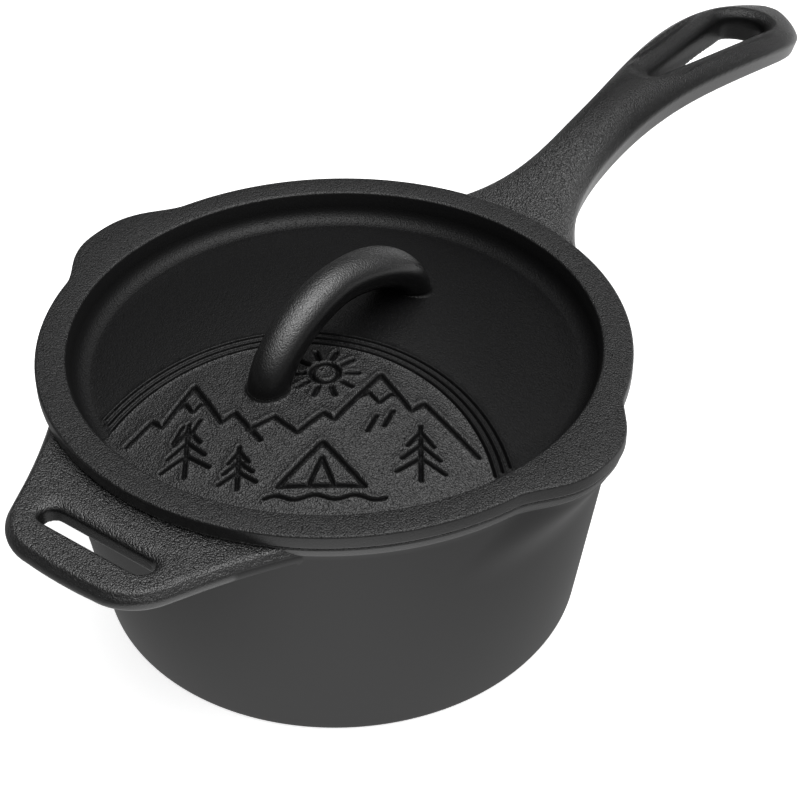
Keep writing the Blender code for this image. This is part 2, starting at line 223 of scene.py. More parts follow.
TENT_DOOR = ((6.6, 3.6), (10.0, 12.8), (13.4, 3.6))
PINES = ((-27.0, 9.0, 18.5, 13.0), (-12.5, 3.5, 14.0, 10.0), (36.5, 6.0, 18.5, 13.0))
PINE_BOUGHS = ((0.14, 1.0), (0.38, 0.78), (0.62, 0.54))
PINE_BOUGH_HEIGHT = 0.26
WATER = (-5.0, 27.0, 0.0, 0.7, 3)

# The iron's grain. Counts are to a metre, shares are of the relief, and shift and bump are metres
PEBBLES = 1900.0
PEBBLE_SHIFTS = 900.0
PEBBLE_SHIFT = 0.0008
FINE_GRAINS = 2900.0
FINE_SHARE = 0.6
BROAD_SWELLS = 420.0
BROAD_SHARE = 0.8
BUMP_HEIGHT = 0.0003
# Painted glints: a lighter colour on the pebbles' tops, as far as the grain goes, over the dark iron
PAINTED_GLINT_SPAN = (0.12, 0.45)
IRON_DARK = (0.007, 0.007, 0.0072, 1.0)
IRON_PAINTED_GLINT = (0.03, 0.03, 0.0308, 1.0)

# Where the iron's look changes: from one height, distance from an axis, or X or Y to another
WALL_TOP = (77.2, 78.0)
WALL_REACH = (92.5, 94.5)
HANDLE_GRAIN_AT = (118.0, 150.0)
HANDLE_PAINTED_SHEEN_AT = (110.0, 150.0)
HELPER_GRAIN_AT = (-60.0, 20.0)
HANGING_SLOT_START = (170.0, 176.0)
HANGING_SLOT_END = (252.0, 255.0)
HANGING_SLOT_SIDE = (11.0, 13.0)
HELPER_SLOT_START = (-108.0, -107.0)
HELPER_SLOT_END = (-90.0, -89.0)
HELPER_SLOT_SIDE = (19.5, 20.5)
FLANGE_START = (74.5, 76.5)
RINGS_START = (56.5, 57.5)
GRIP_REACH = (50.0, 60.0)
GROOVE_REACH = (68.0, 70.0)
BARE_FLOOR_RIGHT = (0.0, 50.0)

# Where it changes with height over the dome, and with the upward part of the surface's normal
GRIP_OVER_DOME = (1.2, 2.2)
GROOVE_UNDER_DOME = (-0.7, -0.2)
GRAIN_FACING = (0.35, 0.9)
HANGING_SLOT_FACING = (0.25, 0.6)
HELPER_SLOT_FACING = (0.3, 0.6)
GRIP_FACING = (0.0, 0.95)

# What it changes from and to there: shares of the grain, shares of the sheen, which paint highlight and
# shade, and roughness
FADE = (1.0, 0.0)
STEEP_GRAIN = (0.2, 1.0)
HANDLE_GRAIN = (1.2, 0.7)
HELPER_GRAIN = (0.65, 1.0)
WALL_GRAIN = (1.0, 0.05)
GRIP_GRAIN = (0.7, 0.4)
BARE_GRAIN = (1.0, 0.5)
HANDLE_PAINTED_SHEEN = (1.15, 0.5)
WALL_PAINTED_SHADE = (1.0, 0.55)
SLOT_PAINTED_SHADE = (1.0, 0.2)
HELPER_SLOT_SHADE_SHARE = 0.75
GRIP_PAINTED_SHEEN = (0.65, 1.0)
GRIP_PAINTED_TOP_HIGHLIGHT = (0.3, 1.2)
BARE_PAINTED_SHADE = 0.4
BARE_PAINTED_SHADE_RIGHT = (1.0, 0.4)
GROOVE_PAINTED_SHADE = (1.0, 0.15)
WALL_ROUGHNESS = (0.3, 0.55)
LID_ROUGHNESS = (0.3, 0.32)

# The floor, and where and how its reflection in the iron, a painted reflection dimmed by place, changes to
# the photograph's right and far side
FLOOR_RADIUS = 6000.0
FLOOR_AT = -0.05
PAPER = (0.88, 0.88, 0.88, 1.0)
PAPER_PAINTED_REFLECTION = (0.15, 0.15, 0.15, 1.0)
PAPER_ROUGHNESS = 0.9
PAPER_GLOW = 0.7
MIRROR_LEFT = (-170.0, 0.0)
MIRROR_LEFT_LEVELS = (0.1, 0.88)
MIRROR_RIGHT = (0.0, 140.0)
MIRROR_RIGHT_LOSS = (0.0, 0.55)
MIRROR_NEAR = (40.0, 120.0)
MIRROR_BEHIND = (80.0, 200.0)
MIRROR_BEHIND_RIGHT = (70.0, 130.0)
MIRROR_BEHIND_LOSS = (0.85, 0.0)

# The light: the brightest part of the sky, its strengths and how fast each falls off, and the lamp
SKY_AXIS = (0.0605, -0.199, 0.978)
SKY_LOBES = ((1.0, 2.0), (1.9, 6.0))
SKY_LEAST = 0.02
LAMP_AWAY = 1.45
LAMP_SIZE = (0.7, 0.7)
LAMP_AIM = (0.0, 0.0, 0.05)
LAMP_POWER = 2.0

# The photograph's camera
CAMERA_AT = (-350.7, -289.1, 421.5)
CAMERA_FORWARD = (0.6245, 0.4734, -0.6210)
CAMERA_RIGHT = (0.6000, -0.8000, -0.0060)
CAMERA_LENS = 88.78

# How finely the pieces are made, and the share of the handles' faces that is kept
COLUMNS = 360
HANDLE_VOXEL = 0.44
HANDLE_ROUNDS = 10
HELPER_VOXEL = 0.55
HELPER_ROUNDS = 3
KEPT_FACES = 0.4
SHARP_ANGLE = 60.0


def smooth_step(share):
    share = np.clip(share, 0.0, 1.0)
    return share * share * (3.0 - 2.0 * share)


def arc(centre, radius, start, end, steps):
    """Points of an arc in a plane, angles in degrees."""
    turns = [math.radians(start + (end - start) * i / steps) for i in range(steps + 1)]
    return [(centre[0] + radius * math.cos(t), centre[1] + radius * math.sin(t)) for t in turns]


def spout_bump(turn, spread=1.0):
    """1 on the middle of either spout, which point along +Y and -Y, and 0 away from them."""
    off = abs(abs(math.remainder(turn, 2.0 * math.pi)) - math.pi / 2.0) / (SPOUT_HALF_ANGLE * spread)
    if off >= 1.0:
        return 0.0
    return 0.5 + 0.5 * math.cos(math.pi * off**SPOUT_FULLNESS)


def mesh_object(name, points, faces):
    mesh = bpy.data.meshes.new(name)
    mesh.from_pydata([tuple(float(c) * MM for c in point) for point in points], [], faces)
    work = bmesh.new()
    work.from_mesh(mesh)
    bmesh.ops.recalc_face_normals(work, faces=work.faces)
    work.to_mesh(mesh)
    work.free()
    thing = bpy.data.objects.new(name, mesh)
    bpy.context.scene.collection.objects.link(thing)
    return thing


def turned(name, rows):
    """A solid turned about Z. A row is (radius, height, spout reach), and the ends lie on the axis."""
    turns = [2.0 * math.pi * i / COLUMNS for i in range(COLUMNS)]
    points = [(0.0, 0.0, rows[0][1]), (0.0, 0.0, rows[-1][1])]
    for radius, height, reach in rows[1:-1]:
        spread = 1.0 + SPOUT_SPREAD * (1.0 - reach / SPOUT_REACH)
        for turn in turns:
            away = radius + reach * spout_bump(turn, spread)
            points.append((away * math.cos(turn), away * math.sin(turn), height))
    faces = []
    last = 2 + (len(rows) - 3) * COLUMNS
    for i in range(COLUMNS):
        j = (i + 1) % COLUMNS
        faces.append((0, 2 + i, 2 + j))
        faces.append((1, last + j, last + i))
        for ring in range(2, last, COLUMNS):
            faces.append((ring + i, ring + COLUMNS + i, ring + COLUMNS + j, ring + j))
    return mesh_object(name, points, faces)


def lofted(name, loops):
    """A solid through closed loops of points, all with as many points, with flat ends."""
    count = len(loops[0])
    points = [point for loop in loops for point in loop]
    faces = [tuple(range(count)), tuple(range((len(loops) - 1) * count, len(loops) * count))]
    for ring in range(len(loops) - 1):
        for i in range(count):
            j = (i + 1) % count
            near, far = ring * count, (ring + 1) * count
            faces.append((near + i, near + j, far + j, far + i))
    return mesh_object(name, points, faces)


def apply_modifiers(thing):
    graph = bpy.context.evaluated_depsgraph_get()
    mesh = bpy.data.meshes.new_from_object(thing.evaluated_get(graph))
    thing.modifiers.clear()
    thing.data = mesh


def combine(thing, other, operation):
    """Joins other to thing, or cuts it away, and removes other."""
    step = thing.modifiers.new(other.name, "BOOLEAN")
    step.operation = operation
    step.solver = "MANIFOLD"
    step.object = other
    apply_modifiers(thing)
    bpy.data.objects.remove(other, do_unlink=True)


def soften(thing, voxel, rounds):
    """Rebuilds a piece as an even skin, rounds its edges as casting does, and thins out its faces."""
    skin = thing.modifiers.new("skin", "REMESH")
    skin.mode = "VOXEL"
    skin.voxel_size = voxel * MM
    ease = thing.modifiers.new("ease", "SMOOTH")
    ease.factor = 0.5
    ease.iterations = rounds
    thin = thing.modifiers.new("thin", "DECIMATE")
    thin.ratio = KEPT_FACES
    apply_modifiers(thing)


def outer_radius(height):
    """The pan's straight taper from base to rim."""
    return BASE_RADIUS + (RIM_RADIUS - BASE_RADIUS) * height / PAN_HEIGHT


def spout_share(height):
    """How much of the spouts' reach the wall has at a height, from 0 below them to 1 at the rim."""
    return float(smooth_step((height - (PAN_HEIGHT - SPOUT_DEPTH)) / SPOUT_DEPTH)) ** SPOUT_GATHER


def wall_heights():
    """Heights of the wall's rows, closer together over the spouts."""
    low = [3.0, 10.0, 20.0, 30.0, 40.0]
    foot = PAN_HEIGHT - SPOUT_DEPTH
    top = PAN_HEIGHT - RIM_BAND - 0.5
    return low + [foot + (top - foot) * i / 14 for i in range(15)]


def pan_block():
    """The pan's outer shape as a solid block, with the slight step under its rim."""
    edge_at = (BASE_RADIUS - BASE_EDGE_RADIUS, BASE_EDGE_RADIUS)
    rows = [(0.0, 0.0, 0.0), (35.0, 0.0, 0.0), (66.0, 0.0, 0.0)]
    rows += [(r, z, 0.0) for r, z in arc(edge_at, BASE_EDGE_RADIUS, -90.0, -6.0, 6)]
    rows += [(outer_radius(z) - RIM_BAND_STEP, z, SPOUT_REACH * spout_share(z)) for z in wall_heights()]
    band = PAN_HEIGHT - RIM_BAND
    rows.append((outer_radius(band) - RIM_BAND_LIP, band, SPOUT_REACH))
    rows.append((outer_radius(band), band + RIM_BAND_EASE, SPOUT_REACH))
    lip_at = (RIM_RADIUS - RIM_EDGE_RADIUS, PAN_HEIGHT - RIM_EDGE_RADIUS)
    rows += [(r, z, SPOUT_REACH) for r, z in arc(lip_at, RIM_EDGE_RADIUS, 0.0, 90.0, 5)]
    rows.append((0.0, PAN_HEIGHT, 0.0))
    return turned("pan_block", rows)


def pan_cavity():
    """What is hollowed out of the pan, with a rounded inner lip."""
    lip = RIM_EDGE_RADIUS
    inner = RIM_RADIUS - WALL
    above = PAN_HEIGHT + CAVITY_ABOVE_RIM
    rows = [(0.0, above, 0.0), (inner + lip, above, SPOUT_REACH)]
    rows += [(r, z, SPOUT_REACH) for r, z in arc((inner + lip, PAN_HEIGHT - lip), lip, 90.0, 180.0, 5)]
    for z in reversed(wall_heights()[4:]):
        rows.append((outer_radius(z) - WALL, z, SPOUT_REACH * spout_share(z)))
    corner = outer_radius(FLOOR + FLOOR_FILLET) - WALL - FLOOR_FILLET
    fillet = arc((corner, FLOOR + FLOOR_FILLET), FLOOR_FILLET, 0.0, -90.0, 12)
    rows += [(r, z, 0.0) for r, z in fillet]
    rows += [(40.0, FLOOR, 0.0), (18.0, FLOOR, 0.0), (0.0, FLOOR, 0.0)]
    return turned("pan_cavity", rows)


def handle_half_width(out):
    """Half the long handle's width at a distance out from the rim: a fan, a waist, a broad round end."""
    if out < HANDLE_WAIST_AT:
        fan = (1.0 - max(out, 0.0) / HANDLE_WAIST_AT) ** HANDLE_FAN_BEND
        return HANDLE_WAIST_HALF_WIDTH + (HANDLE_ROOT_HALF_WIDTH - HANDLE_WAIST_HALF_WIDTH) * fan
    if out < HANDLE_SHOULDER_AT:
        share = smooth_step((out - HANDLE_WAIST_AT) / (HANDLE_SHOULDER_AT - HANDLE_WAIST_AT))
        return HANDLE_WAIST_HALF_WIDTH + (HANDLE_END_HALF_WIDTH - HANDLE_WAIST_HALF_WIDTH) * share
    share = (out - HANDLE_SHOULDER_AT) / (HANDLE_LENGTH - HANDLE_SHOULDER_AT)
    bend = HANDLE_END_SQUARENESS
    return HANDLE_END_HALF_WIDTH * max(1.0 - share**bend, 0.0) ** (1.0 / bend)


def eased(out):
    """Twice a distance past the start of the handle's rise, coming in softly."""
    past = out - HANDLE_RISE_FROM
    return past + math.hypot(past, HANDLE_RISE_EASE)


def handle_crown(out):
    """Height of the long handle's top line: from the rim up to a crest, then down to the tip."""
    level = PAN_HEIGHT - HANDLE_DROP
    if out < HANDLE_CREST_AT:
        share = eased(out) / eased(HANDLE_CREST_AT)
        return level + HANDLE_RISE * math.sin(0.5 * math.pi * share)
    share = (out - HANDLE_CREST_AT) / (HANDLE_LENGTH - HANDLE_CREST_AT)
    return level + HANDLE_RISE - HANDLE_TIP_FALL * share**HANDLE_TIP_BEND


def handle_thickness(out):
    if out < HANDLE_WAIST_AT:
        share = smooth_step(out / HANDLE_WAIST_AT)
        return HANDLE_ROOT_THICKNESS + (HANDLE_MIDDLE_THICKNESS - HANDLE_ROOT_THICKNESS) * share
    share = smooth_step((out - HANDLE_WAIST_AT) / (HANDLE_SHOULDER_AT - HANDLE_WAIST_AT))
    return HANDLE_MIDDLE_THICKNESS + (HANDLE_END_THICKNESS - HANDLE_MIDDLE_THICKNESS) * share


def handle_section(half_width, thickness, squash):
    """A closed loop as (across, up from the crown): domed above the parting line, drawn in below it."""
    low = -thickness
    parting = low * (1.0 - HANDLE_LOWER_SHARE)
    drawn_in = min(HANDLE_DRAWN_IN, 0.3 * half_width)
    bottom_half = half_width - drawn_in
    edge = min(HANDLE_BOTTOM_EDGE, 0.4 * bottom_half)
    draft = min(HANDLE_SIDE_DRAFT, 0.3 * half_width)
    right = []
    for i in range(21):
        turn = 0.5 * math.pi * i / 20
        up = parting - parting * math.cos(turn) ** (2.0 / HANDLE_TOP_BEND)
        across = (half_width - draft) * math.sin(turn) ** (2.0 / HANDLE_SIDE_BEND)
        right.append((across + draft * up / parting, up))
    for turn in (0.0, 0.5, 1.0):
        right.append((bottom_half - edge + edge * math.cos(turn), low + edge - edge * math.sin(turn)))
    right += [(0.6 * (bottom_half - edge), low), (0.0, low)]
    loop = right + [(-across, up) for across, up in reversed(right[1:-1])]
    middle = 0.5 * low
    return [(across, middle + (up - middle) * squash) for across, up in loop]


def long_handle():
    """The long handle, lofted from inside the pan's wall to its tip, thicker where it leaves the wall."""
    inside = -WALL - HANDLE_ROOT_INSIDE
    last = HANDLE_LENGTH - HANDLE_NOSE_CUT
    loops = []
    for i in range(HANDLE_STATIONS):
        share = i / (HANDLE_STATIONS - 1)
        out = inside + (last - inside) * math.sin(0.5 * math.pi * share) ** HANDLE_CROWDING
        nose = max(out - HANDLE_SHOULDER_AT, 0.0) / (HANDLE_LENGTH - HANDLE_SHOULDER_AT)
        squash = (1.0 - nose**HANDLE_NOSE_BEND) ** 0.5
        root = HANDLE_ROOT_SWELL * max(1.0 - max(out, 0.0) / HANDLE_ROOT_SWELL_LENGTH, 0.0) ** 2
        half_width = handle_half_width(out) + root + SOFTENED_BY
        section = handle_section(half_width, handle_thickness(out) + root + 2.0 * SOFTENED_BY, squash)
        crown = handle_crown(out) + SOFTENED_BY
        loops.append([(RIM_RADIUS + out, across, crown + up) for across, up in section])
    handle = lofted("long_handle", loops)
    combine(handle, hanging_slot(), "DIFFERENCE")
    soften(handle, HANDLE_VOXEL, HANDLE_ROUNDS)
    return handle


def handle_surface(x, y):
    """Height of the long handle's top over a point of the plan."""
    out = min(max(x - RIM_RADIUS, 0.0), HANDLE_LENGTH - 1.0)
    share = min(abs(y) / (handle_half_width(out) - 0.5 * HANDLE_SIDE_DRAFT), 0.999)
    dome = (1.0 - share**HANDLE_SIDE_BEND) ** (1.0 / HANDLE_TOP_BEND)
    fall = handle_thickness(out) * (1.0 - HANDLE_LOWER_SHARE) * (1.0 - dome)
    return handle_crown(out) + SOFTENED_BY - fall


def teardrop(small_at, big_at, small_radius, big_radius):
    """A closed loop round two circles of unlike size on the X axis, with straight sides."""
    lean = math.degrees(math.asin((big_radius - small_radius) / (big_at - small_at)))
    loop = arc((big_at, 0.0), big_radius, -90.0 - lean, 90.0 + lean, 40)
    loop += arc((small_at, 0.0), small_radius, 90.0 + lean, 270.0 - lean, 24)
    return loop


def slot_loop(end_wall, small_from_tip, small_radius, big_radius, grow):
    tip = RIM_RADIUS + HANDLE_LENGTH
    big_at = tip - end_wall - big_radius
    return teardrop(tip - small_from_tip, big_at, small_radius + grow, big_radius + grow)


def hanging_slot():
    """The drafted teardrop through the long handle's end, wider at the top, with rounded edges."""
    upper = (SLOT_END_WALL, SLOT_SMALL_FROM_TIP, SLOT_SMALL_RADIUS, SLOT_BIG_RADIUS)
    lower = (SLOT_LOW_END_WALL, SLOT_LOW_SMALL_FROM_TIP, SLOT_LOW_SMALL_RADIUS, SLOT_LOW_BIG_RADIUS)
    loops = []
    for i in range(5):
        turn = 0.5 * math.pi * i / 4
        grow = SLOT_LOW_EDGE_RADIUS * (1.0 - math.sin(turn))
        up = SLOT_LOW_EDGE_RADIUS * (1.0 - math.cos(turn))
        loop = slot_loop(*lower, grow)
        bottom = [handle_crown(x - RIM_RADIUS) - handle_thickness(x - RIM_RADIUS) for x, _ in loop]
        loops.append([(x, y, z + up) for (x, y), z in zip(loop, bottom)])
    loops.insert(0, [(x, y, z - SLOT_CUT_MARGIN) for x, y, z in loops[0]])
    depth = HANDLE_END_THICKNESS - SLOT_LOW_EDGE_RADIUS
    for i in range(13):
        turn = 0.5 * math.pi * i / 12
        grow = SLOT_EDGE_RADIUS * (1.0 - math.cos(turn))
        down = SLOT_EDGE_RADIUS * (1.0 - math.sin(turn))
        share = (1.0 - down / depth) ** SLOT_DRAFT_BEND
        between = [a + (b - a) * share for a, b in zip(lower, upper)]
        loops.append([(x, y, handle_surface(x, y) - down) for x, y in slot_loop(*between, grow)])
    loops.append([(x, y, z + SLOT_CUT_MARGIN) for x, y, z in loops[-1]])
    return lofted("hanging_slot", loops)


def helper_outline(inset):
    """The helper handle's outline, drawn in by inset, as a closed loop of (x, y) points."""
    end = RIM_RADIUS + HELPER_LENGTH - inset
    radius = HELPER_CORNER_RADIUS - inset
    slant = math.degrees(math.atan(HELPER_SIDE_SLOPE))
    centre_at = RIM_RADIUS + HELPER_LENGTH - HELPER_END_BOW - HELPER_CORNER_RADIUS
    across = HELPER_END_HALF_WIDTH - HELPER_CORNER_RADIUS
    half = [(end - HELPER_END_BOW * (i / 8.0) ** 2, across * i / 8.0) for i in range(8)]
    half += arc((centre_at, across), radius, 0.0, 90.0 - slant, 20)
    side_at, side_across = half[-1]
    flare_from = RIM_RADIUS + HELPER_FLARE_LENGTH / 2.0
    stop_at = RIM_RADIUS - HELPER_FLARE_LENGTH
    for i in range(1, 41):
        x = side_at + (stop_at - side_at) * i / 40.0
        y = side_across + HELPER_SIDE_SLOPE * (side_at - x)
        y += HELPER_FLARE * (max(flare_from - x, 0.0) / HELPER_FLARE_LENGTH) ** 2
        half.append((x, y))
    return [(-x, y) for x, y in half] + [(-x, -y) for x, y in reversed(half[1:])]


def helper_handle():
    """The short helper handle: a flat top with a round edge, a parting line, and a drawn-in lower half."""
    top = PAN_HEIGHT - HELPER_DROP
    loops = [[(x, y, top - down) for x, y in helper_outline(inset)] for inset, down in HELPER_EDGE]
    tab = lofted("helper_handle", loops)
    combine(tab, helper_slot(), "DIFFERENCE")
    soften(tab, HELPER_VOXEL, HELPER_ROUNDS)
    return tab


def helper_slot():
    """The long slot through the helper handle, whose upper edge is rounded most on the pan's side."""
    top = PAN_HEIGHT - HELPER_DROP
    low = top - HELPER_THICKNESS
    radius = 0.5 * HELPER_SLOT_WIDTH
    at = -(RIM_RADIUS + HELPER_LENGTH - HELPER_SLOT_WALL - radius)
    reach = 0.5 * HELPER_SLOT_LENGTH - radius
    loop = arc((at, reach), radius, 0.0, 180.0, 24) + arc((at, -reach), radius, 180.0, 360.0, 24)
    loops = [[(x, y, low - HELPER_CUT_MARGIN) for x, y in loop]]
    for i in range(6):
        turn = 0.5 * math.pi * i / 5
        near = HELPER_SLOT_NEAR_EDGE * (1.0 - math.cos(turn)) / radius
        far = HELPER_SLOT_FAR_EDGE * (1.0 - math.cos(turn)) / radius
        z = top - HELPER_SLOT_EDGE_DEPTH * (1.0 - math.sin(turn))
        wide = []
        for x, y in loop:
            grow = near + (far - near) * (0.5 + 0.5 * (x - at) / radius)
            wide.append((x + grow * (x - at), y + grow * (y - math.copysign(reach, y)), z))
        loops.append(wide)
    loops.append([(x, y, top + HELPER_CUT_MARGIN) for x, y, _ in loops[-1]])
    return lofted("helper_slot", loops)


def saucepan():
    pan = pan_block()
    combine(pan, long_handle(), "UNION")
    combine(pan, helper_handle(), "UNION")
    combine(pan, pan_cavity(), "DIFFERENCE")
    pan.name = pan.data.name = "saucepan_casting"
    return pan


def lid_top():
    return PAN_HEIGHT + LID_GAP + FLANGE_THICKNESS


def well_radius():
    return RIM_RADIUS - WALL - PLUG_CLEARANCE - LID_SIDE_WALL


def floor_edge():
    return well_radius() - WELL_DRAFT - WELL_FILLET


def dome_height(radius, edge_height):
    """A shallow dome, DOME_RISE above its edge at the middle."""
    return edge_height + DOME_RISE * (1.0 - (radius / floor_edge()) ** 2)


def picture(points):
    """Points of the carved picture, from its own right and up to the row frame."""
    spots = np.asarray(points, float)
    right, up = np.array(VIEW_RIGHT), np.array(VIEW_UP)
    return np.array(CARVING_CENTRE) + spots[:, :1] * right + spots[:, 1:] * up


def pine(at, foot, height, width):
    """A conifer as lines: a trunk and three boughs like roofs, wider towards the ground."""
    lines = [[(at, foot), (at, foot + height)]]
    for level, share in PINE_BOUGHS:
        low, high = foot + level * height, foot + (level + PINE_BOUGH_HEIGHT) * height
        half = 0.5 * width * share
        lines.append([(at - half, low), (at, high), (at + half, low)])
    return lines


def wave(start, end, level, swing, turns):
    xs = np.linspace(start, end, 12 * turns)
    return [(x, level + swing * math.sin(2.0 * math.pi * turns * (x - start) / (end - start))) for x in xs]


def circle(centre, radius, turns):
    return [(centre[0] + radius * math.cos(t), centre[1] + radius * math.sin(t)) for t in turns]


def carving_curves():
    """The carved lines of the lid's floor and their widths in the row frame, cut to the floor."""
    round_turns = np.radians(np.arange(0.0, 360.0, 0.7))
    curves = [(RING_WIDTH, circle((0.0, 0.0), radius, round_turns)) for radius in RING_RADII]
    sun = circle(SUN_AT, SUN_RADIUS, np.linspace(0.0, 2.0 * math.pi, 60))
    bold = [LEFT_PEAKS, RIGHT_PEAKS, FOOTHILL, TENT, sun]
    for i in range(SUN_RAYS):
        turn = 2.0 * math.pi * i / SUN_RAYS
        bold.append([circle(SUN_AT, away, [turn])[0] for away in SUN_RAY_REACH])
    lines = [LEFT_SNOW, RIGHT_SNOW, TENT_DOOR]
    lines += [[(x, y), (x + SHADE_RUN[0], y + SHADE_RUN[1])] for x, y in SHADE_FROM]
    for tree in PINES:
        lines += pine(*tree)
    lines.append(wave(*WATER))
    curves += [(BOLD_WIDTH, line) for line in bold] + [(1.0, line) for line in lines]
    return [(width, piece) for width, line in curves for piece in inside_floor(resampled(picture(line)))]


def resampled(curve):
    """The same line with a point every CURVE_STEP or so, its own corners kept."""
    points = [curve[0]]
    for a, b in zip(curve[:-1], curve[1:]):
        count = max(int(round(np.hypot(*(b - a)) / CURVE_STEP)), 1)
        points += [a + (b - a) * i / count for i in range(1, count + 1)]
    return np.array(points)


def inside_floor(curve):
    """The stretches of a line that lie on the floor, clear of its edge."""
    keep = np.hypot(curve[:, 0], curve[:, 1]) < floor_edge() - LINES_CLEAR_OF_EDGE
    pieces, run = [], []
    for point, good in zip(curve, keep):
        if good:
            run.append(point)
        elif len(run) > 2:
            pieces.append(np.array(run))
        if not good:
            run = []
    if len(run) > 2:
        pieces.append(np.array(run))
    return pieces


def distance_to(curves, spots):
    """Distance from each spot to the nearest carved line, in shares of its width, and that width."""
    starts = np.concatenate([curve[:-1] for _, curve in curves])
    runs = np.concatenate([curve[1:] - curve[:-1] for _, curve in curves])
    widths = np.concatenate([np.full(len(curve) - 1, width) for width, curve in curves])
    lengths = np.maximum((runs**2).sum(1), 1e-9)
    nearest, width = np.full(len(spots), 1e9), np.ones(len(spots))
    for at in range(0, len(spots), 2000):
        block = spots[at : at + 2000]
        offset = block[:, None, :] - starts[None]
        along = np.clip((offset * runs[None]).sum(2) / lengths[None], 0.0, 1.0)
        gap = offset - along[..., None] * runs[None]
        away = np.sqrt((gap**2).sum(2)) / widths[None]
        best = away.argmin(1)
        nearest[at : at + 2000] = away[np.arange(len(block)), best]
        width[at : at + 2000] = widths[best]
    return nearest, width


def feet():
    """Centre and half sizes of the grip's two feet on the floor."""
    near = (-BAR_NEAR_SPAN, 0.0, BAR_HALF_THICKNESS, BAR_HALF_WIDTH)
    far = (BAR_FAR_SPAN, 0.0, BAR_HALF_THICKNESS, BAR_FAR_FOOT_HALF_WIDTH)
    return near, far


def foot_distance(spots):
    """Rough distance outside the nearer foot, negative inside it."""
    found = []
    for x, y, half_x, half_y in feet():
        dx, dy = spots[:, 0] - x, spots[:, 1] - y
        reach = np.sqrt((dx / half_x) ** 2 + (dy / half_y) ** 2)
        found.append((reach - 1.0) * 0.5 * (half_x + half_y))
    return np.minimum(*found)


def floor_height(spots, curves):
    """Height of the lid's floor: the dome, the fillets at the feet and the carved lines."""
    base = dome_height(np.hypot(spots[:, 0], spots[:, 1]), lid_top() - WELL_DEPTH)
    near = np.clip(foot_distance(spots), 0.0, FOOT_FILLET)
    fillet = FOOT_FILLET - np.sqrt(FOOT_FILLET**2 - (FOOT_FILLET - near) ** 2)
    away, width = distance_to(curves, spots)
    groove = smooth_step((GROOVE_HALF_WIDTH - away) / (GROOVE_HALF_WIDTH - GROOVE_BOTTOM_HALF_WIDTH))
    lip = smooth_step(1.0 - np.abs(away - LIP_AT) / LIP_HALF_WIDTH)
    return base + fillet + (LIP_HEIGHT * lip - GROOVE_DEPTH * groove) * np.sqrt(width)


def floor_spots(curves):
    """Plan points of the floor: rows beside each carved line, rings round the feet, and an even grid."""
    kept = []
    for width, curve in curves:
        run = np.gradient(curve, axis=0)
        length = np.maximum(np.hypot(run[:, 0], run[:, 1]), 1e-9)
        normal = np.stack([-run[:, 1], run[:, 0]], 1) / length[:, None]
        before, after = curve[1:-1] - curve[:-2], curve[2:] - curve[1:-1]
        bend = np.abs(before[:, 0] * after[:, 1] - before[:, 1] * after[:, 0])
        sharp = bend > 0.25 * np.hypot(*before.T) * np.hypot(*after.T)
        corners = list(curve[1:-1][sharp]) + [curve[0], curve[-1]]
        turns = np.arange(0.0, 2.0 * math.pi, math.pi / 5.0)
        for away in GROOVE_ROWS:
            fan = np.stack([np.cos(turns), np.sin(turns)], 1) * away * width
            rows = [curve + side * away * width * normal for side in (1.0, -1.0)]
            rows += [corner + fan for corner in corners]
            spots = np.concatenate(rows)
            kept.append(spots[distance_to(curves, spots)[0] > away - ROWS_SLACK])
    lines = np.concatenate(kept)
    rings = []
    for x, y, half_x, half_y in feet():
        for away in (-1.5, -0.4, 0.0, 0.2, 0.45, 0.7, FOOT_FILLET, FOOT_FILLET + 0.9):
            turns = np.arange(0.0, 2.0 * math.pi, 2.0 * math.pi / 56)
            grow = 1.0 + 2.0 * away / (half_x + half_y)
            across, up = x + half_x * grow * np.cos(turns), y + half_y * grow * np.sin(turns)
            rings.append(np.stack([across, up], 1))
    rings = np.concatenate(rings)
    side = np.arange(-floor_edge(), floor_edge(), GRID_STEP)
    grid_x, grid_y = np.meshgrid(side, side)
    grid_x[1::2] += 0.5 * GRID_STEP
    grid = np.stack([grid_x.ravel(), grid_y.ravel() * GRID_ROW_SHARE], 1)
    clear_of_lines = distance_to(curves, grid)[0] > GRID_CLEAR_OF_LINES
    grid = grid[clear_of_lines & (foot_distance(grid) > FOOT_FILLET + GRID_CLEAR_OF_FEET)]
    rings = rings[distance_to(curves, rings)[0] > RINGS_CLEAR_OF_LINES]
    spots = np.concatenate([lines, rings, grid])
    spots = spots[np.hypot(spots[:, 0], spots[:, 1]) < floor_edge() - SPOTS_CLEAR_OF_EDGE]
    cells = np.round(spots / SPOTS_APART).astype(int)
    first = np.unique(cells, axis=0, return_index=True)[1]
    return spots[np.sort(first)]


